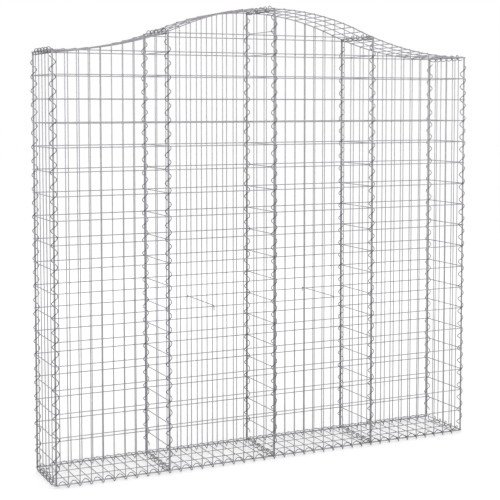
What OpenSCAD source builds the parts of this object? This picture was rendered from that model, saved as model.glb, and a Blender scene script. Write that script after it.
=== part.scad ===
// Empty gabion basket of welded mesh with an arched top: four bays, bound with wire spirals.
// X runs along the wall, -Y is the front face, Z is up, and Z = 0 is the ground.

/* [Basket] */
// Distance from one partition to the next along the wall
bay_pitch = 500; // [400:10:700]
// Depth over the outside of the front and back mesh
depth = 300; // [280:10:500]
// Height from the bottom wire to the top straight wire of a face
face_h = 1785; // [1500:15:2100]
// Rise of the arch, in the middle, above the top straight wire
arch_rise = 195; // [120:5:240]
// Distance from the middle at which the arch turns from crown to foot
arch_turn = 430; // [300:10:600]

/* [Mesh] */
// Thickness of the mesh wire
wire_d = 4; // [3.4:0.1:4.6]
// Mesh cells across one bay
bay_cells = 10; // [8:1:11]
// Rows of mesh up a face
rows = 18; // [16:1:20]
// Mesh cells across an end
depth_cells = 6; // [4:2:6]
// Clearance between panels that are bound to each other
gap = 0.3; // [0.2:0.1:0.6]

/* [Spirals] */
// Radius of a spiral, to the middle of its wire
spiral_r = 12.8; // [12:0.1:15]
// Thickness of the spiral wire
spiral_d = 3; // [2.4:0.1:3.2]

/* [Spacers] */
// Thickness of a spacer wire
spacer_d = 3.5; // [3:0.1:4.5]
// Row of mesh on which the spacers rest
spacer_row = 7; // [4:1:12]
// Mesh wire beside which a spacer stands, counted from the outer partition
spacer_cell = 4; // [2:1:7]
// Length of a spacer's hook in front of the mesh
hook_drop = 18; // [10:1:30]

/* [Hidden] */
bays = 4;
stations = bays + 1;
half_len = bays * bay_pitch / 2;
row = face_h / rows;
cell = bay_pitch / bay_cells;
// Spaces between the four long wires of the floor and of a lid
long_spaces = 3;

// The spiral wire is a triangle of the round wire's area, with a flat side outwards
spiral_sides = 3;
spiral_steps = 4;
flat_angle = 180 / spiral_sides;
spiral_wire_r = spiral_d / 2 * sqrt(2 * PI / (spiral_sides * sin(2 * flat_angle)));
spiral_out = spiral_wire_r * cos(flat_angle);
spiral_reach = spiral_r + spiral_wire_r;

// Heights of the bottom wire and of the top straight wire, standing on the spirals
bottom_z = spiral_r + spiral_out;
top_z = bottom_z + face_h;

// Layers of wire, counted inwards from the outside of a face
face_row_y = depth / 2 - wire_d / 2;
face_upright_y = face_row_y - wire_d;
weld_depth = 0.15 * wire_d;
upright_tip = wire_d / 4;
arch_edge_y = face_upright_y - wire_d + weld_depth;
end_upright_x = half_len + gap / 2 + wire_d / 2;
end_row_x = end_upright_x + wire_d;
partition_y = arch_edge_y - wire_d - gap;
inner_reach = partition_y + wire_d / 2;
floor_y = face_upright_y - wire_d - gap;
floor_inner_y = floor_y / long_spaces;
floor_cross_z = bottom_z + wire_d;
partition_foot_z = floor_cross_z + wire_d / 2 + gap;

// The arch: a crown arc and two foot arcs that meet it at a tangent and end level
arch_angle = 2 * atan(arch_rise / half_len);
crown_r = arch_turn / sin(arch_angle);
foot_r = (half_len - arch_turn) / sin(arch_angle);
function foot_x(x) = half_len - abs(x);
function crown_fall(x) = crown_r - sqrt(crown_r * crown_r - x * x);
function foot_lift(x) = foot_r - sqrt(foot_r * foot_r - foot_x(x) * foot_x(x));
function arch_lift(x) = abs(x) < arch_turn ? arch_rise - crown_fall(x) : foot_lift(x);
function arch_z(x) = top_z + arch_lift(x);
function partition_top_z(x) = min(arch_z(x - wire_d / 2), arch_z(x + 1.5 * wire_d)) - wire_d - 2 * gap;
function arch_slope(x) = abs(x) < arch_turn ? asin(-x / crown_r) : asin(-sign(x) * foot_x(x) / foot_r);

// The lids lie between the arched edges of the faces, their cross wires on top of their long wires
lid_outer_y = partition_y - weld_depth;
lid_inner_y = lid_outer_y / long_spaces;
lid_cross_lift = wire_d - weld_depth;
lid_edge = lid_cross_lift * sin(arch_angle) + wire_d / 2 * (cos(arch_angle) + sin(arch_angle));

// Upright spirals make five turns in three rows, so that no turn meets a row
spiral_turns = 5;
spiral_rows = 3;
upright_pitch = row * spiral_rows / spiral_turns;
upright_room = 1.5 * spiral_reach;
// They start, in parts of a quiet step, where they clear the wires of the partitions and the ends
quiet_step = row / spiral_turns;
upright_start = 3 / 8;
end_shift = 1 / 8;
function end_side(i) = is_end(i) ? sign(station_x(i)) : 0;
function upright_phase(i) = bottom_z + (upright_start + end_side(i) * end_shift) * quiet_step;

// The short row of the middle bays, a whole number of quiet steps up, and the free part of a row
// under a partition's top wire
short_row_room = 1.25 * wire_d;
short_row_steps = floor((arch_z(bay_pitch) - short_row_room - bottom_z) / quiet_step);
short_row_z = bottom_z + short_row_steps * quiet_step;
last_row_room = 0.5;

// A spiral lies against the outermost wire that it binds
spiral_hold = spiral_r - spiral_wire_r - gap;
face_axis_y = face_row_y + wire_d / 2 - spiral_hold;
end_axis_x = end_row_x + wire_d / 2 - spiral_hold;

// Spirals along the edges start, in parts of a turn, where their turns pass between the mesh wires
bottom_phase = 0.21;
bottom_cross_phase = 0.375;
top_cross_phase = -0.125;
cross_limit = face_axis_y - spiral_r - spiral_out - spiral_d;

function station_x(i) = (i - 1 - bays / 2) * bay_pitch;
function bay_left(b) = station_x(b) + gap / 2;
function bay_right(b) = station_x(b + 1) - gap / 2;
function upright_x(b, i) = bay_left(b) + wire_d / 2 + i * (bay_pitch - gap - wire_d) / bay_cells;
function lid_x(b, i) = bay_left(b) + lid_edge + i * (bay_pitch - gap - 2 * lid_edge) / bay_cells;
function long_x(i) = (half_len - gap / 2 - wire_d / 2) * (2 * i / (bays * bay_cells) - 1);
function is_end(i) = i == 1 || i == stations;
function numbered(name, count) = [for (i = [1 : count]) str(name, "_", i)];

// Straight mesh wires, given by their two ends and the place of their middle line
module wire_x(x0, x1, y, z) {
  translate([x0, y - wire_d / 2, z - wire_d / 2])
    cube([x1 - x0, wire_d, wire_d]);
}

module wire_y(y0, y1, x, z) {
  translate([x - wire_d / 2, y0, z - wire_d / 2])
    cube([wire_d, y1 - y0, wire_d]);
}

module wire_z(z0, z1, x, y) {
  translate([x - wire_d / 2, y - wire_d / 2, z0])
    cube([wire_d, wire_d, z1 - z0]);
}

// A wire that follows the arch between two ends
module arched_wire(x0, x1, y, steps) {
  xs = [for (i = [0 : steps]) x0 + (x1 - x0) * i / steps];
  upper = [for (x = xs) [x, arch_z(x) + wire_d / 2]];
  lower = [for (i = [steps : -1 : 0]) [xs[i], arch_z(xs[i]) - wire_d / 2]];
  translate([0, y + wire_d / 2, 0])
    rotate([90, 0, 0])
      linear_extrude(wire_d)
        polygon(concat(upper, lower));
}

// A spiral about the local Z axis between two heights, with its turns anchored at a phase height
module spiral(pitch, phase, low, high) {
  rise = pitch / spiral_steps;
  first = ceil((low - phase) / rise);
  last = floor((high - phase) / rise);
  corner = cos(180 / spiral_steps);
  lean = cos(atan(rise / (2 * spiral_r * tan(180 / spiral_steps))));
  points = [
    for (i = [first : last])
      for (j = [0 : spiral_sides - 1])
        let (
          turn = 360 * (i - 0.5) / spiral_steps,
          side = 360 * j / spiral_sides - flat_angle,
          out = (spiral_r + spiral_wire_r * cos(side)) / corner)
          [out * cos(turn), out * sin(turn), phase + rise * i + spiral_wire_r * sin(side) / lean]
  ];
  sections = last - first;
  end = sections * spiral_sides;
  skin = [
    for (i = [0 : sections - 1])
      for (j = [0 : spiral_sides - 1])
        let (
          a = i * spiral_sides + j,
          b = i * spiral_sides + (j + 1) % spiral_sides)
          each [[a, b, b + spiral_sides], [a, b + spiral_sides, a + spiral_sides]]
  ];
  start_cap = [[for (j = [spiral_sides - 1 : -1 : 0]) j]];
  end_cap = [[for (j = [0 : spiral_sides - 1]) end + j]];
  color("dimgray")
    polyhedron(points, concat(start_cap, skin, end_cap), convexity = 10);
}

// A spiral along X, its turns going up on the inside of the front face
module spiral_x(pitch, phase, low, high) {
  rotate([90, 0, 90])
    spiral(pitch, phase, low, high);
}

// A spiral along Y
module spiral_y(pitch, phase, low, high) {
  rotate([-90, -90, 0])
    spiral(pitch, phase, low, high);
}

// One bay of the front face: rows outside, uprights behind them, and the arched edge inside
module front_panel(b) {
  color("silver")
    union() {
      for (i = [0 : bay_cells])
        let (x = upright_x(b, i))
          wire_z(bottom_z - wire_d / 2, arch_z(x) + upright_tip, x, -face_upright_y);
      for (k = [0 : rows])
        wire_x(bay_left(b), bay_right(b), -face_row_y, bottom_z + k * row);
      if (b > 1 && b < bays)
        wire_x(bay_left(b), bay_right(b), -face_row_y, short_row_z);
      arched_wire(bay_left(b), bay_right(b), -arch_edge_y, 2 * bay_cells);
    }
}

module back_panel(b) {
  mirror([0, 1, 0])
    front_panel(b);
}

// An end of the basket, outside the ends of the faces
module right_end_panel() {
  color("silver")
    union() {
      for (i = [0 : depth_cells])
        let (y = face_upright_y * (2 * i / depth_cells - 1))
          wire_z(bottom_z - wire_d / 2, top_z + wire_d / 2, end_upright_x, y);
      for (k = [0 : rows])
        let (reach = face_upright_y + wire_d / 2)
          wire_y(-reach, reach, end_row_x, bottom_z + k * row);
    }
}

module left_end_panel() {
  mirror([1, 0, 0])
    right_end_panel();
}

// A partition: two uprights on the floor beside the faces, with rungs up to just under the lids
module partition(i) {
  x = station_x(i + 1);
  top = partition_top_z(x);
  full_rows = floor((top - bottom_z) / row - last_row_room);
  heights = concat(
    [partition_foot_z + wire_d / 2],
    [for (k = [1 : full_rows]) bottom_z + k * row],
    [top]);
  color("silver")
    union() {
      for (y = [-partition_y, partition_y])
        wire_z(partition_foot_z, top + wire_d / 2, x, y);
      for (z = heights)
        wire_y(-inner_reach, inner_reach, x + wire_d, z);
    }
}

module floor_panel() {
  reach = half_len - gap / 2;
  color("silver")
    union() {
      for (y = [-floor_y, -floor_inner_y, floor_inner_y, floor_y])
        wire_x(-reach, reach, y, bottom_z);
      for (i = [0 : bays * bay_cells])
        wire_y(-floor_y - wire_d / 2, floor_y + wire_d / 2, long_x(i), floor_cross_z);
    }
}

// The lid of one bay, bent to the arch
module lid_panel(b) {
  color("silver")
    union() {
      for (y = [-lid_outer_y, -lid_inner_y, lid_inner_y, lid_outer_y])
        arched_wire(bay_left(b), bay_right(b), y, bay_cells);
      for (i = [0 : bay_cells])
        let (x = lid_x(b, i))
          translate([x, 0, arch_z(x)])
            rotate([0, -arch_slope(x), 0])
              wire_y(-inner_reach, inner_reach, 0, lid_cross_lift);
    }
}

// Upright spirals bind the faces to the ends and the partitions
module front_upright_spiral(i) {
  x = station_x(i);
  axis_x = is_end(i) ? sign(x) * end_axis_x : x;
  translate([axis_x, -face_axis_y, 0])
    spiral(upright_pitch, upright_phase(i), bottom_z + upright_room, arch_z(x) - upright_room);
}

module back_upright_spiral(i) {
  rotate([0, 0, 180])
    front_upright_spiral(stations + 1 - i);
}

// Long spirals bind the floor to the faces
module front_bottom_spiral() {
  translate([0, -face_axis_y, bottom_z])
    spiral_x(cell, bottom_phase * cell - half_len, -half_len + spiral_d, half_len - spiral_d);
}

module back_bottom_spiral() {
  rotate([0, 0, 180])
    front_bottom_spiral();
}

// Cross spirals bind the floor and the lids to the ends and the partitions
module bottom_cross_spiral(i) {
  x = station_x(i);
  axis_x = is_end(i) ? sign(x) * end_axis_x : x + wire_d / 2;
  axis_z = is_end(i) ? (bottom_z + floor_cross_z) / 2 : partition_foot_z + wire_d - spiral_hold;
  translate([axis_x, 0, axis_z])
    spiral_y(floor_inner_y, bottom_cross_phase * floor_inner_y, -cross_limit, cross_limit);
}

module top_cross_spiral(i) {
  x = station_x(i);
  axis_x = is_end(i) ? sign(x) * end_axis_x : x + wire_d / 2;
  axis_z = is_end(i) ? top_z : partition_top_z(x) - wire_d / 2 + spiral_hold;
  translate([axis_x, 0, axis_z])
    spiral_y(lid_inner_y, top_cross_phase * lid_inner_y, -cross_limit, cross_limit);
}

// A spacer wire from face to face, hooked over one row of each
module spacer_wire(i) {
  x = upright_x(2, spacer_cell) + wire_d / 2 + gap + spacer_d / 2;
  z = bottom_z + spacer_row * row + wire_d / 2 + gap;
  reach = depth / 2 + gap + spacer_d;
  mirror([i - 1, 0, 0])
    color("silver")
      translate([x + spacer_d / 2, 0, z])
        rotate([90, 0, -90])
          linear_extrude(spacer_d)
            difference() {
              translate([-reach, -hook_drop])
                square([2 * reach, hook_drop + spacer_d]);
              translate([spacer_d - reach, -2 * hook_drop])
                square([2 * (reach - spacer_d), 2 * hook_drop]);
            }
}

for (b = [1 : bays]) {
  front_panel(b);
  back_panel(b);
  lid_panel(b);
}
left_end_panel();
right_end_panel();
for (i = [1 : stations - 2])
  partition(i);
floor_panel();
for (i = [1 : stations]) {
  front_upright_spiral(i);
  back_upright_spiral(i);
  bottom_cross_spiral(i);
  top_cross_spiral(i);
}
front_bottom_spiral();
back_bottom_spiral();
for (i = [1 : 2])
  spacer_wire(i);
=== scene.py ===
# %% [markdown]
# # An empty gabion basket with an arched top
# A gabion is a cage of welded steel mesh that is set up empty, bound at its edges with wire
# spirals, and then filled with stones. This lesson dresses such a basket, four bays long and
# still empty. The frame holds every piece at its true size with square wires. Here each piece
# gets the round wires, the weld spots and the zinc skin of the real one.

# %% Load the frame
import math

import bpy
import numpy as np
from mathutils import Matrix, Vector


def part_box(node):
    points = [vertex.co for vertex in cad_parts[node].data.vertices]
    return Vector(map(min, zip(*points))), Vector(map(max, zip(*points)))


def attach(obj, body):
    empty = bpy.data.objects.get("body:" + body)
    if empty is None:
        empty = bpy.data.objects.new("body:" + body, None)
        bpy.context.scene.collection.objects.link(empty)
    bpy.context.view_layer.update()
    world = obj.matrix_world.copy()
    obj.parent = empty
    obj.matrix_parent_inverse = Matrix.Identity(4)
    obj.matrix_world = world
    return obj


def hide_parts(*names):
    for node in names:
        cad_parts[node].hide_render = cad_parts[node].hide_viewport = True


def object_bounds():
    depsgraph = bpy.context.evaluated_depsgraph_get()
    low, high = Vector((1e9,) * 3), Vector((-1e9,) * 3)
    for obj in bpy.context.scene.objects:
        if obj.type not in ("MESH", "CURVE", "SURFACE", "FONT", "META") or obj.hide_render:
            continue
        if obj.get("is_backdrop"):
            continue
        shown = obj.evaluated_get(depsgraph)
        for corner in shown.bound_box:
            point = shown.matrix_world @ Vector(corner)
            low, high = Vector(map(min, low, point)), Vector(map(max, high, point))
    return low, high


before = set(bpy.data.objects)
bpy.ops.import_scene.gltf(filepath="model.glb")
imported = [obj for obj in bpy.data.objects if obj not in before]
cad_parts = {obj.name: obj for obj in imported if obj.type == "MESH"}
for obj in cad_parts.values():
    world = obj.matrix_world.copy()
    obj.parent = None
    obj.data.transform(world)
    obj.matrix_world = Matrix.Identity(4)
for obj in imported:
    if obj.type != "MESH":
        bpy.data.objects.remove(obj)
cad_low, cad_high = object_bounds()
print("pieces in the frame:", len(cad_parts))
print("size of the frame in metres:", [round(v, 3) for v in cad_high - cad_low])

# %% [markdown]
# ## The sizes that every panel shares
# Typing each wire's place by hand would be slow and would go wrong as soon as the part changed.
# A panel's place is read from its box in the frame instead, and only the thickness of the mesh
# wire and the counts of bays and rows are written here. All lengths are in metres.

# %% Wires and rows
MESH_WIRE = 0.004
BAYS = 4
ROWS = 18

bottom_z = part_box("front_panel_1")[0].z + MESH_WIRE / 2
top_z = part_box("left_end_panel")[1].z - MESH_WIRE / 2
row = (top_z - bottom_z) / ROWS
# The first and the third partition stand two bays apart.
bay = (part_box("partition_3")[0].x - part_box("partition_1")[0].x) / 2
half_length = bay * BAYS / 2
print(f"row height {row * 1000:.1f} mm, bay {bay * 1000:.1f} mm")

# %% [markdown]
# ## The arch
# The top edge is a round crown that turns into two hollow feet and ends level. A spline through
# a few points would look close, but it would wander off the frame. The two arcs are worked out
# exactly as a bender would set them: one radius for the crown, one for the feet, meeting at a
# tangent where the crown ends.

# %% Height and slope of the arch
CROWN_HALF = 0.430
arch_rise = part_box("front_panel_2")[1].z - MESH_WIRE / 2 - top_z
arch_angle = 2 * math.atan(arch_rise / half_length)
crown_radius = CROWN_HALF / math.sin(arch_angle)
foot_radius = (half_length - CROWN_HALF) / math.sin(arch_angle)


def arch_z(x):
    """Height of the arch at a place along the wall."""
    if abs(x) < CROWN_HALF:
        return top_z + arch_rise - crown_radius + math.sqrt(crown_radius**2 - x**2)
    from_end = max(half_length - abs(x), 0.0)
    return top_z + foot_radius - math.sqrt(foot_radius**2 - from_end**2)


def arch_normal(x):
    """Unit vector that points straight out of the arch."""
    if abs(x) < CROWN_HALF:
        lean = math.asin(x / crown_radius)
    else:
        lean = math.copysign(math.asin(max(half_length - abs(x), 0.0) / foot_radius), x)
    return np.array([math.sin(lean), 0.0, math.cos(lean)])


print(f"the arch rises {arch_rise * 1000:.0f} mm, crown radius {crown_radius:.3f} m")

# %% [markdown]
# ## A round wire along any path
# A curve object with a bevel would give a round wire in a few lines. A mesh is made here
# instead, because a whole panel with its welds is then one object, and because the cut ends can
# have the small broken edge that a wire cutter leaves. Each point of the path gets a ring, and
# neighbouring rings are joined with faces.

# %% Ends and faces of a wire
BROKEN_EDGE = 0.0005


def broken_ends(path):
    """The path with one more point inside each end, where the broken edge starts."""
    first_step = path[1] - path[0]
    last_step = path[-1] - path[-2]
    start = path[0] + first_step * BROKEN_EDGE / np.linalg.norm(first_step)
    end = path[-1] - last_step * BROKEN_EDGE / np.linalg.norm(last_step)
    return np.concatenate([path[:1], [start], path[1:-1], [end], path[-1:]])


def tube_faces(rings, sides):
    """Faces between neighbouring rings of corners, and a cap on each end."""
    corner = np.arange(sides)
    following = (corner + 1) % sides
    first = (np.arange(rings - 1) * sides)[:, None]
    walls = np.stack(
        [first + corner, first + following, first + following + sides, first + corner + sides],
        axis=-1,
    ).reshape(-1, 4)
    last_ring = (rings - 1) * sides
    caps = [list(range(sides))[::-1], list(range(last_ring, last_ring + sides))]
    return walls.tolist() + caps


print("faces of a square bar with one stretch:", len(tube_faces(2, 4)))

# %% Wire helper
WIRE_SIDES = 10
CUT_SHRINK = 0.8
X_WAY, Y_WAY, Z_WAY = np.eye(3)


def round_wire(path, across, thickness, sides=WIRE_SIDES):
    """Points and faces of a wire. "across" is any direction, or one per point, not along it."""
    path = np.asarray(path, float)
    across = np.broadcast_to(np.asarray(across, float), path.shape)
    across = np.concatenate([across[:1], across, across[-1:]])
    path = broken_ends(path)
    along = np.gradient(path, axis=0)
    along /= np.linalg.norm(along, axis=1, keepdims=True)
    out = across - along * np.sum(across * along, axis=1, keepdims=True)
    out /= np.linalg.norm(out, axis=1, keepdims=True)
    side = np.cross(along, out)
    reach = np.full(len(path), thickness / 2)
    reach[[0, -1]] *= CUT_SHRINK
    turn = np.arange(sides) * 2 * math.pi / sides
    ring = out[:, None] * np.cos(turn)[:, None] + side[:, None] * np.sin(turn)[:, None]
    points = (path[:, None] + ring * reach[:, None, None]).reshape(-1, 3)
    return points, tube_faces(len(path), sides)


sample_points, sample_faces = round_wire([(0, 0, 0), (0, 0, row)], X_WAY, MESH_WIRE)
print("corners and faces of a straight wire:", len(sample_points), len(sample_faces))

# %% [markdown]
# ## A weld spot
# Where two wires cross, the welder presses them together under current, and a small lens of
# metal is squeezed out into the corner between them. A sphere object at each crossing would
# fill the scene with thousands of objects. One ball is made once instead, and a flattened copy
# goes into the panel's own mesh at each crossing, its thin way running from wire to wire.

# %% Ball for the welds
WELD_SEGMENTS = 8
WELD_RINGS = 4


def unit_ball():
    """Points and faces of a ball of radius 1."""
    points = [(0.0, 0.0, 1.0)]
    for ring in range(1, WELD_RINGS):
        tilt = math.pi * ring / WELD_RINGS
        for segment in range(WELD_SEGMENTS):
            turn = 2 * math.pi * segment / WELD_SEGMENTS
            flat = math.sin(tilt)
            points.append((flat * math.cos(turn), flat * math.sin(turn), math.cos(tilt)))
    points.append((0.0, 0.0, -1.0))
    foot = len(points) - 1
    faces = []
    for segment in range(WELD_SEGMENTS):
        beside = (segment + 1) % WELD_SEGMENTS
        faces.append([0, 1 + segment, 1 + beside])
        for ring in range(WELD_RINGS - 2):
            upper = 1 + ring * WELD_SEGMENTS
            lower = upper + WELD_SEGMENTS
            faces.append([upper + segment, lower + segment, lower + beside, upper + beside])
        last = foot - WELD_SEGMENTS
        faces.append([foot, last + beside, last + segment])
    return np.array(points), faces


ball_points, ball_faces = unit_ball()
print("corners of a weld spot:", len(ball_points))

# %% Weld helper
WELD_WIDE = 0.0023
WELD_THIN = 0.0012
CLOSE_TO_Y = 0.5


def weld_spot(place, normal):
    """Points and faces of a weld between two wires that lie on either side of a place."""
    normal = np.asarray(normal, float)
    hint = Y_WAY if abs(normal @ Y_WAY) < CLOSE_TO_Y else X_WAY
    first = np.cross(hint, normal)
    second = np.cross(normal, first)
    shape = np.stack([first * WELD_WIDE, second * WELD_WIDE, normal * WELD_THIN])
    return np.asarray(place, float) + ball_points @ shape, ball_faces


print(f"a weld spot is {2 * WELD_WIDE * 1000:.1f} mm wide and {2 * WELD_THIN * 1000:.1f} mm thick")

# %% [markdown]
# ## Helpers for the materials
# The finishes of the wires are made of shader nodes. They could be put together by hand in the
# shader editor, but then nobody could read from the script how they were made. In Python each
# node takes several lines, so a few helpers add a node, set its inputs by name, start a group
# that several materials share, and make the kinds of node that come back often.

# %% Node helpers
def new_node(tree, kind, **settings):
    """Adds a shader node and sets its properties."""
    made = tree.nodes.new(kind)
    for name, value in settings.items():
        setattr(made, name, value)
    return made


def set_inputs(made, **values):
    """Sets a node's unlinked inputs by name."""
    for name, value in values.items():
        made.inputs[name.replace("_", " ")].default_value = value
    return made


COLOUR = "NodeSocketColor"
VALUE = "NodeSocketFloat"


def new_group(name, inputs, outputs):
    """A shader node group with named sockets, and its two end nodes."""
    tree = bpy.data.node_groups.new(name, "ShaderNodeTree")
    for label, kind in inputs:
        tree.interface.new_socket(label, in_out="INPUT", socket_type=kind)
    for label, kind in outputs:
        tree.interface.new_socket(label, in_out="OUTPUT", socket_type=kind)
    return tree, tree.nodes.new("NodeGroupInput"), tree.nodes.new("NodeGroupOutput")


print("a group's sockets carry", COLOUR, "or", VALUE)

# %% Kinds of node that come back
def noise(tree, place, scale, detail):
    """Noise of so many waves to a metre, fixed to the object."""
    made = set_inputs(new_node(tree, "ShaderNodeTexNoise"), Scale=scale, Detail=detail)
    tree.links.new(place, made.inputs["Vector"])
    return made.outputs["Fac"]


def mapped(tree, source, given=(0.0, 1.0), wanted=(0.0, 1.0), **settings):
    """A value carried from one range to another, and held at the ends of it."""
    made = new_node(tree, "ShaderNodeMapRange", **settings)
    set_inputs(made, From_Min=given[0], From_Max=given[1], To_Min=wanted[0], To_Max=wanted[1])
    tree.links.new(source, made.inputs["Value"])
    return made.outputs["Result"]


def combined(tree, operation, first, second, **settings):
    """One value from two, by a sum, a product or the larger of them."""
    made = new_node(tree, "ShaderNodeMath", operation=operation, **settings)
    tree.links.new(first, made.inputs[0])
    tree.links.new(second, made.inputs[1])
    return made.outputs["Value"]


print("helpers:", [helper.__name__ for helper in (noise, mapped, combined)])

# %% [markdown]
# ## The zinc skin
# The wire is dipped in molten zinc, which freezes into a patchwork of crystals, each a little
# lighter or darker than the next. A photograph of zinc laid over the wires would need a map for
# each of them. A texture that is worked out in space fits any wire, so a Voronoi texture gives
# one value to each crystal, a noise texture adds drifts of tone, and both also set the roughness
# and the small unevenness of the coat. All the wires share this, so it is a node group.

# %% Zinc crystal group
DRIFTS_PER_METRE = 38.0
DRIFT_DETAIL = 4.0
DRIFT_SHARE = 0.55
GRAIN_PER_METRE = 900.0
GRAIN_DETAIL = 3.0
ZINC_TONES = (0.2, 0.8)
ZINC_ROUGHNESS = (0.30, 0.52)


def make_zinc_group():
    """Tone, roughness and height of a hot-dipped zinc coat."""
    tree, given, result = new_group(
        "zinc crystals",
        [("Crystals", VALUE), ("Pale zinc", COLOUR), ("Deep zinc", COLOUR)],
        [("Colour", COLOUR), ("Roughness", VALUE), ("Height", VALUE)],
    )
    link = tree.links.new
    place = new_node(tree, "ShaderNodeTexCoord").outputs["Object"]
    crystals = new_node(tree, "ShaderNodeTexVoronoi")
    link(place, crystals.inputs["Vector"])
    link(given.outputs["Crystals"], crystals.inputs["Scale"])
    tone = new_node(tree, "ShaderNodeSeparateColor")
    link(crystals.outputs["Color"], tone.inputs["Color"])
    blend = new_node(tree, "ShaderNodeMix", data_type="FLOAT")
    blend.inputs["Factor"].default_value = DRIFT_SHARE
    link(tone.outputs["Red"], blend.inputs["A"])
    link(noise(tree, place, DRIFTS_PER_METRE, DRIFT_DETAIL), blend.inputs["B"])
    colour = new_node(tree, "ShaderNodeMix", data_type="RGBA")
    link(blend.outputs["Result"], colour.inputs["Factor"])
    link(given.outputs["Deep zinc"], colour.inputs["A"])
    link(given.outputs["Pale zinc"], colour.inputs["B"])
    link(colour.outputs["Result"], result.inputs["Colour"])
    rough = mapped(tree, blend.outputs["Result"], ZINC_TONES, ZINC_ROUGHNESS)
    link(rough, result.inputs["Roughness"])
    grain = noise(tree, place, GRAIN_PER_METRE, GRAIN_DETAIL)
    height = combined(tree, "ADD", grain, crystals.outputs["Distance"])
    link(height, result.inputs["Height"])
    return tree


zinc_crystals = make_zinc_group()
print("node group:", zinc_crystals.name, "with", len(zinc_crystals.nodes), "nodes")

# %% [markdown]
# ## White bloom
# Zinc that has stood in the wet grows a chalky bloom in patches, more of it close to the ground.
# The bloom is paler, rougher and less metallic than the bright coat. It could be painted on by
# hand, wire by wire. It is a second group instead, put after the first, so that each finish can
# have as much or as little of it as it needs.

# %% Bloom group
PATCHES_PER_METRE = 7.0
PATCH_DETAIL = 8.0
PATCH_TONES = (0.45, 0.75)
SPLASH_HEIGHT = 0.45
BLOOM_ABOVE_SPLASH = 0.4
BLOOM_COLOUR = (0.62, 0.63, 0.63, 1.0)
BLOOM_ROUGHNESS = 0.8
METAL_OF_ZINC = 0.85
METAL_OF_BLOOM = 0.25


def make_bloom_group():
    """Lays a chalky bloom over a coat, and says how metallic what is left looks."""
    tree, given, result = new_group(
        "white bloom",
        [("Colour", COLOUR), ("Roughness", VALUE), ("Amount", VALUE)],
        [("Colour", COLOUR), ("Roughness", VALUE), ("Metallic", VALUE)],
    )
    link = tree.links.new
    place = new_node(tree, "ShaderNodeTexCoord").outputs["Object"]
    patches = mapped(tree, noise(tree, place, PATCHES_PER_METRE, PATCH_DETAIL), PATCH_TONES)
    up = new_node(tree, "ShaderNodeSeparateXYZ")
    link(place, up.inputs["Vector"])
    low = mapped(tree, up.outputs["Z"], (0.0, SPLASH_HEIGHT), (1.0, BLOOM_ABOVE_SPLASH))
    wet = combined(tree, "MULTIPLY", patches, low)
    mask = combined(tree, "MULTIPLY", wet, given.outputs["Amount"], use_clamp=True)
    colour = new_node(tree, "ShaderNodeMix", data_type="RGBA")
    colour.inputs["B"].default_value = BLOOM_COLOUR
    link(mask, colour.inputs["Factor"])
    link(given.outputs["Colour"], colour.inputs["A"])
    link(colour.outputs["Result"], result.inputs["Colour"])
    rough = new_node(tree, "ShaderNodeMix", data_type="FLOAT")
    rough.inputs["B"].default_value = BLOOM_ROUGHNESS
    link(mask, rough.inputs["Factor"])
    link(given.outputs["Roughness"], rough.inputs["A"])
    link(rough.outputs["Result"], result.inputs["Roughness"])
    metal = mapped(tree, mask, wanted=(METAL_OF_ZINC, METAL_OF_BLOOM))
    link(metal, result.inputs["Metallic"])
    return tree


white_bloom = make_bloom_group()
print("node group:", white_bloom.name, "with", len(white_bloom.nodes), "nodes")

# %% [markdown]
# ## The finishes
# Four finishes come from the two groups. The mesh is bright zinc. The weld spots on it are a
# little darker, where the heat burned the coat. The spirals are painted much darker than the
# mesh, as painted shade for the shade among their close turns, and the spacers are cut from
# plain wire with a finer crystal. Four materials with nodes of their own would have to be
# changed four times over, so one function makes them all, from the crystals to a metre, the
# tones of pale and deep zinc, and the amount of bloom.

# %% Finish helper
COAT_DEPTH = 0.00012
COAT_BUMP = 0.6


def zinc_finish(name, crystals, pale, deep, bloom):
    """A zinc-coated wire with its own crystal size, tones and amount of bloom."""
    material = bpy.data.materials.new(name)
    material.use_nodes = True
    tree = material.node_tree
    link = tree.links.new
    skin = tree.nodes["Principled BSDF"]
    coat = new_node(tree, "ShaderNodeGroup", node_tree=zinc_crystals)
    set_inputs(coat, Crystals=crystals, Pale_zinc=(*pale, 1.0), Deep_zinc=(*deep, 1.0))
    chalk = new_node(tree, "ShaderNodeGroup", node_tree=white_bloom)
    set_inputs(chalk, Amount=bloom)
    link(coat.outputs["Colour"], chalk.inputs["Colour"])
    link(coat.outputs["Roughness"], chalk.inputs["Roughness"])
    link(chalk.outputs["Colour"], skin.inputs["Base Color"])
    link(chalk.outputs["Roughness"], skin.inputs["Roughness"])
    link(chalk.outputs["Metallic"], skin.inputs["Metallic"])
    bump = set_inputs(new_node(tree, "ShaderNodeBump"), Strength=COAT_BUMP, Distance=COAT_DEPTH)
    link(coat.outputs["Height"], bump.inputs["Height"])
    link(bump.outputs["Normal"], skin.inputs["Normal"])
    return material


print(f"depth of the coat's unevenness: {COAT_DEPTH * 1000:.2f} mm")

# %% Finishes
mesh_zinc = zinc_finish(
    "mesh zinc", crystals=320.0, bloom=0.4,
    pale=(0.48, 0.463, 0.50), deep=(0.243, 0.233, 0.257))
weld_zinc = zinc_finish(
    "burned weld zinc", crystals=600.0, bloom=0.2,
    pale=(0.25, 0.243, 0.25), deep=(0.12, 0.116, 0.121))
# The spirals' tones are painted shade: far darker than the mesh, for the shade among the close turns
# of the coils.
shade_painted_spiral_zinc = zinc_finish(
    "spiral zinc with painted shade", crystals=420.0, bloom=0.1,
    pale=(0.10, 0.096, 0.105), deep=(0.035, 0.034, 0.037))
spacer_zinc = zinc_finish(
    "spacer zinc", crystals=520.0, bloom=0.3,
    pale=(0.32, 0.31, 0.334), deep=(0.16, 0.154, 0.169))
print("finishes:", [m.name for m in (mesh_zinc, weld_zinc, shade_painted_spiral_zinc, spacer_zinc)])

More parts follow.
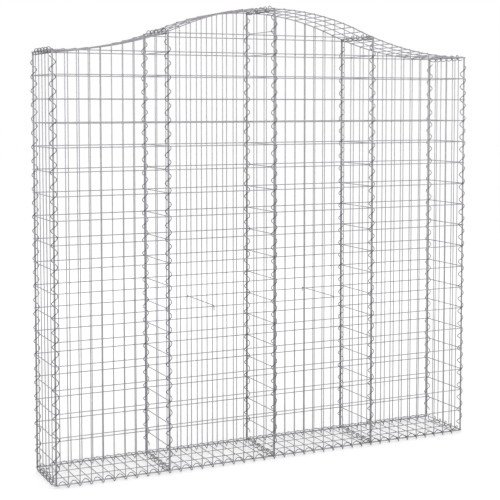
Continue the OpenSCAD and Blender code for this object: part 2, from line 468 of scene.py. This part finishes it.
# %% [markdown]
# ## Joining wires into a piece
# A panel could be a heap of loose objects, but on the real basket it is one welded sheet. All
# its wires and welds therefore go into one mesh, the welds with a material slot of their own.
# The piece rides on the basket and stands for the frame's node of the same name.

# %% Piece helper
made_pieces = []


def make_piece(node, wires, wire_finish, welds=(), weld_finish=None):
    """One object from lists of (points, faces), in the place of a node of the frame."""
    points, faces, finish = [], [], []
    start = 0
    for which, batch in enumerate((wires, welds)):
        for batch_points, batch_faces in batch:
            points.append(batch_points)
            faces += [[corner + start for corner in face] for face in batch_faces]
            finish += [which] * len(batch_faces)
            start += len(batch_points)
    mesh = bpy.data.meshes.new(node + "_wire")
    mesh.from_pydata(np.concatenate(points).tolist(), [], faces)
    mesh.materials.append(wire_finish)
    if weld_finish:
        mesh.materials.append(weld_finish)
    mesh.polygons.foreach_set("material_index", finish)
    # Walls and welds are shaded smooth. The caps have more corners than these and stay flat.
    mesh.polygons.foreach_set("use_smooth", [len(face) <= 4 for face in faces])
    piece = bpy.data.objects.new(node + "_wire", mesh)
    bpy.context.scene.collection.objects.link(piece)
    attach(piece, "root")
    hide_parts(node)
    made_pieces.append(piece)
    return piece


def triangles():
    """Triangles in all the pieces made so far."""
    meshes = [piece.data for piece in made_pieces]
    return sum(len(mesh.loops) - 2 * len(mesh.polygons) for mesh in meshes)


print("triangles to begin with:", triangles())

# %% [markdown]
# ## The faces
# Each bay has a front and a back panel: level wires outside, upright wires welded behind them,
# and inside those one wire bent to the arch. The two middle bays have one more level wire, high
# up where the arch has room for it. It lies a whole number of fifths of a row up, because the
# spirals make five turns to three rows and have to miss this row as they miss the others. Front
# and back could be two functions, but they are the same sheet turned to face outwards, so one
# function makes both and takes the side as a sign.

# %% Rows and edges of the faces
ARCH_STEPS = 40
SPIRAL_TURNS = 5
SHORT_ROW_ROOM = 1.25 * MESH_WIRE
part_row = row / SPIRAL_TURNS
short_row_z = bottom_z + part_row * math.floor((arch_z(bay) - SHORT_ROW_ROOM - bottom_z) / part_row)
row_heights = [bottom_z + k * row for k in range(ROWS + 1)]


def spread(low, high, cells):
    """Middle lines of the wires that part a length into cells, the outer ones inside its ends."""
    return np.linspace(low + MESH_WIRE / 2, high - MESH_WIRE / 2, cells + 1)


def arched_wire(x0, x1, y):
    """A mesh wire that follows the arch."""
    places = np.linspace(x0, x1, ARCH_STEPS + 1)
    path = [(x, y, arch_z(x)) for x in places]
    return round_wire(path, Y_WAY, MESH_WIRE)


print(f"rows from {row_heights[0]:.3f} to {row_heights[-1]:.3f} m, short row at {short_row_z:.3f} m")

# %% Face panels
BAY_CELLS = 10
UPRIGHT_TIP = MESH_WIRE / 4


def face_panel(node, outward, middle_bay):
    """One bay of the front (outward -1) or back (outward 1) face."""
    low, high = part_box(node)
    outside = low.y if outward < 0 else high.y
    inside = high.y if outward < 0 else low.y
    row_y = outside - outward * MESH_WIRE / 2
    upright_y = row_y - outward * MESH_WIRE
    edge_y = inside + outward * MESH_WIRE / 2
    heights = row_heights + ([short_row_z] if middle_bay else [])
    wires, welds = [], []
    for z in heights:
        wires.append(round_wire([(low.x, row_y, z), (high.x, row_y, z)], Z_WAY, MESH_WIRE))
    for x in spread(low.x, high.x, BAY_CELLS):
        tip = arch_z(x) + UPRIGHT_TIP
        wires.append(round_wire([(x, upright_y, low.z), (x, upright_y, tip)], X_WAY, MESH_WIRE))
        welds += [weld_spot((x, (row_y + upright_y) / 2, z), Y_WAY) for z in heights]
        welds.append(weld_spot((x, (edge_y + upright_y) / 2, arch_z(x)), Y_WAY))
    wires.append(arched_wire(low.x, high.x, edge_y))
    return make_piece(node, wires, mesh_zinc, welds, weld_zinc)


for number in range(1, BAYS + 1):
    for side, outward in (("front", -1), ("back", 1)):
        face_panel(f"{side}_panel_{number}", outward, 1 < number < BAYS)
print("triangles with the faces:", triangles())

# %% [markdown]
# ## Ends and partitions
# Across the basket stand five sheets: two ends outside the faces and three partitions between
# the bays. All have upright wires with level wires welded to one side. An end is a close mesh
# that holds stones in. A partition only ties front to back, so it is a ladder: two uprights with
# a rung at each row. It stands on the floor mesh, and its top rung lies just under the lids. One
# array of wires for all five would not fit both kinds, so a function takes the rows and the
# count of cells from the caller.

# %% Ends
END_CELLS = 6


def cross_panel(node, row_x, upright_x, heights, cells):
    """A sheet across the basket, from its two layers, its rows and the cells in each row."""
    low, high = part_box(node)
    wires, welds = [], []
    for z in heights:
        wires.append(round_wire([(row_x, low.y, z), (row_x, high.y, z)], Z_WAY, MESH_WIRE))
    for y in spread(low.y, high.y, cells):
        ends = [(upright_x, y, low.z), (upright_x, y, high.z)]
        wires.append(round_wire(ends, Y_WAY, MESH_WIRE))
        welds += [weld_spot(((row_x + upright_x) / 2, y, z), X_WAY) for z in heights]
    return make_piece(node, wires, mesh_zinc, welds, weld_zinc)


for node, outward in (("left_end_panel", -1), ("right_end_panel", 1)):
    low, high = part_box(node)
    outside = low.x if outward < 0 else high.x
    row_x = outside - outward * MESH_WIRE / 2
    cross_panel(node, row_x, row_x - outward * MESH_WIRE, row_heights, END_CELLS)
print("triangles with the ends:", triangles())

# %% Partitions
PARTITION_CELLS = 1
ROOM_UNDER_TOP_RUNG = 0.5

for number in range(1, BAYS):
    node = f"partition_{number}"
    low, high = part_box(node)
    foot = low.z + MESH_WIRE / 2
    top = high.z - MESH_WIRE / 2
    full_rows = math.floor((top - bottom_z) / row - ROOM_UNDER_TOP_RUNG)
    heights = [foot, *(bottom_z + k * row for k in range(1, full_rows + 1)), top]
    row_x = high.x - MESH_WIRE / 2
    upright_x = low.x + MESH_WIRE / 2
    cross_panel(node, row_x, upright_x, heights, PARTITION_CELLS)
    print(node, "has", len(heights), "rungs")

# %% [markdown]
# ## The floor
# The floor is one long sheet with four wires along it and a cross wire at every cell. An array
# modifier could repeat one cross wire, but each crossing also needs its weld, so a loop sets the
# wire and its four welds together.

# %% Floor panel
LONG_WIRES = 4


def floor_panel(node):
    """The floor: long wires below, cross wires welded on top."""
    low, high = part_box(node)
    long_z = low.z + MESH_WIRE / 2
    cross_z = high.z - MESH_WIRE / 2
    long_places = spread(low.y, high.y, LONG_WIRES - 1)
    wires, welds = [], []
    for y in long_places:
        wires.append(round_wire([(low.x, y, long_z), (high.x, y, long_z)], Z_WAY, MESH_WIRE))
    for x in spread(low.x, high.x, BAYS * BAY_CELLS):
        ends = [(x, low.y, cross_z), (x, high.y, cross_z)]
        wires.append(round_wire(ends, Z_WAY, MESH_WIRE))
        welds += [weld_spot((x, y, (long_z + cross_z) / 2), Z_WAY) for y in long_places]
    return make_piece(node, wires, mesh_zinc, welds, weld_zinc)


floor_panel("floor_panel")
print("triangles with the floor:", triangles())

# %% [markdown]
# ## The lids
# The lids are the same mesh as the floor, one for each bay, bent to the arch. A flat mesh with a
# curve modifier would stretch the wires at the bend. Here the long wires follow the arch by
# themselves, and each cross wire is pushed out from them along the arch's normal. The outer cross
# wires stay far enough inside the lid's ends that none leans out past them.

# %% Lid panels
WELD_SINK = 0.15 * MESH_WIRE
lid_cross_lift = MESH_WIRE - WELD_SINK
lid_edge = (lid_cross_lift * math.sin(arch_angle)
            + MESH_WIRE / 2 * (math.cos(arch_angle) + math.sin(arch_angle)))
lid_outer_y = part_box("lid_panel_1")[1].y - MESH_WIRE / 2 - WELD_SINK
lid_inner_y = lid_outer_y / (LONG_WIRES - 1)


def lid_panel(node):
    """The lid of one bay."""
    low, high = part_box(node)
    wires, welds = [], []
    long_places = (-lid_outer_y, -lid_inner_y, lid_inner_y, lid_outer_y)
    for y in long_places:
        wires.append(arched_wire(low.x, high.x, y))
    for x in np.linspace(low.x + lid_edge, high.x - lid_edge, BAY_CELLS + 1):
        normal = arch_normal(x)
        foot = np.array([x, 0.0, arch_z(x)])
        line = foot + normal * lid_cross_lift
        ends = [line + Y_WAY * low.y, line + Y_WAY * high.y]
        wires.append(round_wire(ends, normal, MESH_WIRE))
        spot = foot + normal * lid_cross_lift / 2
        welds += [weld_spot(spot + Y_WAY * y, normal) for y in long_places]
    return make_piece(node, wires, mesh_zinc, welds, weld_zinc)


for number in range(1, BAYS + 1):
    lid_panel(f"lid_panel_{number}")
print("triangles with the lids:", triangles())

# %% [markdown]
# ## The wire spirals
# Spirals screwed through the meeting edges bind the sheets together. A screw modifier could make
# a coil, but a path of points lets each one start at its own turn and end at the frame's own
# length. The path goes round the middle of the spiral's box and along it at the same time.

# %% Coil helper
SPIRAL_WIRE = 0.003
COIL_STEPS = 28
COIL_SIDES = 8
COIL_START = -math.pi / 4


def coil(node, first, second, along, pitch, phase):
    """A spiral in a node's box. It turns from "first" to "second" as it goes along."""
    low, high = (np.array(corner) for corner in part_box(node))
    middle = (low + high) / 2
    middle -= along * (middle @ along)
    half = (high - low) / 2
    reach = abs(half @ first) - SPIRAL_WIRE / 2
    start, end = sorted((low @ along, high @ along))
    start += SPIRAL_WIRE / 2
    end -= SPIRAL_WIRE / 2
    steps = math.ceil((end - start) / pitch * COIL_STEPS)
    places = np.linspace(start, end, steps + 1)
    turn = 2 * math.pi * (places - phase) / pitch + COIL_START
    out = np.cos(turn)[:, None] * first + np.sin(turn)[:, None] * second
    path = middle + out * reach + places[:, None] * along
    wire = round_wire(path, out, SPIRAL_WIRE, COIL_SIDES)
    return make_piece(node, [wire], shade_painted_spiral_zinc)


print("points to a turn of a spiral:", COIL_STEPS)

# %% [markdown]
# ## Spirals up the corners and the partitions
# The turns have to pass between the mesh wires, so pitch and starting turn are not free. With
# five turns to three rows, each turn passes the rows at one of a few set places, and one start
# for the whole spiral keeps it clear of them all. The spirals at the two ends start a little
# lower or higher than those at the partitions, so that they miss the level wires of the ends too.

# %% Corner and partition spirals
SPIRAL_ROWS = 3
STATIONS = BAYS + 1
UPRIGHT_START = 3 / 8
END_SHIFT = 1 / 8
upright_pitch = row / (SPIRAL_TURNS / SPIRAL_ROWS)


def upright_phase(station):
    """Height at which the turns of an upright spiral are anchored."""
    end_side = {1: -1, STATIONS: 1}.get(station, 0)
    return bottom_z + (UPRIGHT_START + end_side * END_SHIFT) * part_row


for station in range(1, STATIONS + 1):
    coil(f"front_upright_spiral_{station}", X_WAY, Y_WAY, Z_WAY,
         upright_pitch, upright_phase(station))
    coil(f"back_upright_spiral_{station}", -X_WAY, -Y_WAY, Z_WAY,
         upright_pitch, upright_phase(STATIONS + 1 - station))
print("turns of an upright spiral:", round((top_z - bottom_z) / upright_pitch, 1))

# %% [markdown]
# ## Spirals along the floor and across the basket
# Two long spirals bind the floor to the faces, with one turn to each cell. Short ones go from
# front to back at each end and partition, one at the floor and one at the lids, with two turns to
# each space between the long wires. One pitch for all would be simpler, but its turns would meet
# the wires, so each kind has its own and starts where it misses them.

# %% Floor and lid spirals
BOTTOM_PHASE = 0.21
BOTTOM_CROSS_PHASE = 0.375
TOP_CROSS_PHASE = -0.125
cell = bay / BAY_CELLS
floor_low, floor_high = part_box("floor_panel")
floor_inner_y = spread(floor_low.y, floor_high.y, LONG_WIRES - 1)[LONG_WIRES // 2]

coil("front_bottom_spiral", Y_WAY, Z_WAY, X_WAY, cell, BOTTOM_PHASE * cell - half_length)
coil("back_bottom_spiral", -Y_WAY, Z_WAY, -X_WAY, cell, BOTTOM_PHASE * cell - half_length)
for station in range(1, STATIONS + 1):
    coil(f"bottom_cross_spiral_{station}", Z_WAY, X_WAY, Y_WAY,
         floor_inner_y, BOTTOM_CROSS_PHASE * floor_inner_y)
    coil(f"top_cross_spiral_{station}", Z_WAY, X_WAY, Y_WAY,
         lid_inner_y, TOP_CROSS_PHASE * lid_inner_y)
print("triangles with the spirals:", triangles())

# %% [markdown]
# ## The spacer wires
# A spacer keeps the two faces from bulging apart when the stones go in. It is one length of wire
# with a hook bent at each end, laid over a row of the front and of the back. Three straight
# stretches would make a sharp corner that no wire has. The bends are quarter circles of the
# radius that a hand bender gives.

# %% Spacers
SPACER_WIRE = 0.0035
SPACERS = 2
BEND_RADIUS = 0.004
BEND_STEPS = 8


def spacer_wire(node):
    """A hooked wire from face to face."""
    low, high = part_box(node)
    x = (low.x + high.x) / 2
    front = low.y + SPACER_WIRE / 2
    back = high.y - SPACER_WIRE / 2
    level = high.z - SPACER_WIRE / 2
    path = [(x, front, low.z)]
    for corner_y, way in ((front + BEND_RADIUS, -1), (back - BEND_RADIUS, 1)):
        angles = np.linspace(0, math.pi / 2, BEND_STEPS + 1)
        angles = angles if way < 0 else angles[::-1]
        for angle in angles:
            path.append((x, corner_y + way * BEND_RADIUS * math.cos(angle),
                         level - BEND_RADIUS + BEND_RADIUS * math.sin(angle)))
    path.append((x, back, low.z))
    wire = round_wire(path, X_WAY, SPACER_WIRE)
    return make_piece(node, [wire], spacer_zinc)


for number in range(1, SPACERS + 1):
    spacer_wire(f"spacer_wire_{number}")
print("the whole basket:", len(made_pieces), "pieces,", triangles(), "triangles")

# %% [markdown]
# ## The white studio
# The basket stands before a plain white ground. Strong lamps on a backdrop would make it white,
# but they would wash out the thin wires too. The world is therefore shown at full white to the
# camera and to the reflections, and gives all other rays a softer sky, so that the light on the
# wires stays plain.

# %% World
SKY_LIGHT = 0.55
SKY_SHOWN = 1.0
PURE_WHITE = (1.0, 1.0, 1.0, 1.0)


def seen_directly(tree):
    """A mask that is 1 for camera, glossy and transmission rays."""
    rays = new_node(tree, "ShaderNodeLightPath")
    shown = combined(tree, "MAXIMUM", rays.outputs["Is Camera Ray"], rays.outputs["Is Glossy Ray"])
    return combined(tree, "MAXIMUM", shown, rays.outputs["Is Transmission Ray"])


world = bpy.data.worlds.new("white studio")
world.use_nodes = True
bpy.context.scene.world = world
sky = world.node_tree.nodes["Background"]
sky.inputs["Color"].default_value = PURE_WHITE
sky_strength = mapped(
    world.node_tree, seen_directly(world.node_tree), wanted=(SKY_LIGHT, SKY_SHOWN))
world.node_tree.links.new(sky_strength, sky.inputs["Strength"])
print("sky shown at", SKY_SHOWN, "and lighting at", SKY_LIGHT)

# %% [markdown]
# ## The studio floor
# The floor is a pale matt surface that takes the basket's shadow. By itself it would look grey
# against the white ground, so a little light is added where the camera or a reflection sees it.
# Less is added near the basket, where the lamps shine and its shadow has to show, and more far
# off, so that the floor meets the ground without an edge.

# %% Floor
FLOOR_HALF = 30.0

floor_mesh = bpy.data.meshes.new("studio_floor")
floor_mesh.from_pydata(
    [(-FLOOR_HALF, -FLOOR_HALF, 0), (FLOOR_HALF, -FLOOR_HALF, 0),
     (FLOOR_HALF, FLOOR_HALF, 0), (-FLOOR_HALF, FLOOR_HALF, 0)], [], [(0, 1, 2, 3)])
studio_floor = bpy.data.objects.new("studio_floor", floor_mesh)
bpy.context.scene.collection.objects.link(studio_floor)
studio_floor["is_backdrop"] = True
print("floor:", studio_floor.name, FLOOR_HALF * 2, "m wide")

# %% Floor finish
FLOOR_COLOUR = (0.9, 0.9, 0.9, 1.0)
FLOOR_ROUGHNESS = 0.9
LIFT_NEAR = 0.34
LIFT_FAR = 0.52
FADE_FROM = 2.5
FADE_TO = 6.5

matt_white = bpy.data.materials.new("matt white floor")
matt_white.use_nodes = True
floor_mesh.materials.append(matt_white)
floor_nodes = matt_white.node_tree
floor_skin = floor_nodes.nodes["Principled BSDF"]
set_inputs(floor_skin, Base_Color=FLOOR_COLOUR, Roughness=FLOOR_ROUGHNESS)
set_inputs(floor_skin, Specular_IOR_Level=0.0, Emission_Color=PURE_WHITE)
floor_place = new_node(floor_nodes, "ShaderNodeTexCoord")
distance = new_node(floor_nodes, "ShaderNodeVectorMath", operation="LENGTH")
floor_nodes.links.new(floor_place.outputs["Object"], distance.inputs[0])
fade = mapped(
    floor_nodes, distance.outputs["Value"], (FADE_FROM, FADE_TO), (LIFT_NEAR, LIFT_FAR),
    interpolation_type="SMOOTHSTEP")
lift = combined(floor_nodes, "MULTIPLY", seen_directly(floor_nodes), fade)
floor_nodes.links.new(lift, floor_skin.inputs["Emission Strength"])
print("light added to the floor:", LIFT_NEAR, "near and", LIFT_FAR, "far off")

# %% [markdown]
# ## Lamps
# Three large soft lamps give the round wires a light side and a darker one: a key from the upper
# left in front, a weaker fill from the right, and one from behind that picks out the far mesh. A
# sun would be simpler, but its hard light would make each wire a bright line beside a black one.

# %% Lamps
centre = (cad_low + cad_high) / 2


def soft_lamp(name, offset, size, power):
    """A square area lamp that looks at the middle of the basket."""
    data = bpy.data.lights.new(name, "AREA")
    data.shape = "SQUARE"
    data.size = size
    data.energy = power
    lamp = bpy.data.objects.new(name, data)
    lamp.location = [c + o for c, o in zip(centre, offset)]
    away = lamp.location - centre
    lamp.rotation_euler = away.to_track_quat("Z", "Y").to_euler()
    bpy.context.scene.collection.objects.link(lamp)
    return lamp


soft_lamp("key lamp", offset=(-3.2, -4.2, 3.6), size=2.5, power=110.0)
soft_lamp("fill lamp", offset=(4.5, -3.0, 2.0), size=3.0, power=50.0)
soft_lamp("back lamp", offset=(1.0, 4.5, 3.4), size=2.5, power=60.0)

# %% [markdown]
# ## The camera
# The view is from the left, a little below the height of the top wire, with a long lens. A camera
# aimed at the middle of the basket would make its uprights lean together. This one is tilted only
# a little and its picture is shifted down instead, so that they stay almost parallel.

# %% Camera
CAMERA_PLACE = (-2.371, -4.883, 1.576)
CAMERA_TURN = math.radians(25.41)
CAMERA_TILT = math.radians(-3.56)
CAMERA_LENS = 86.91
CAMERA_SHIFT = -0.14
SENSOR_WIDTH = 36.0

camera_data = bpy.data.cameras.new("camera")
camera_data.sensor_width = SENSOR_WIDTH
camera_data.lens = CAMERA_LENS
camera_data.shift_y = CAMERA_SHIFT
camera = bpy.data.objects.new("camera", camera_data)
camera.location = CAMERA_PLACE
camera.rotation_euler = (math.pi / 2 + CAMERA_TILT, 0.0, -CAMERA_TURN)
bpy.context.scene.collection.objects.link(camera)
bpy.context.scene.camera = camera
bpy.context.scene.view_settings.view_transform = "Standard"
print("camera at", [round(v, 2) for v in camera.location])

# %% [markdown]
# The dressed basket has to stay within the frame's own box. The room left between the two
# boxes is printed below and above.

# %% Sizes and finish
low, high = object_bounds()
print("room left below:", [round((a - b) * 1000, 2) for a, b in zip(low, cad_low)], "mm")
print("room left above:", [round((a - b) * 1000, 2) for a, b in zip(cad_high, high)], "mm")
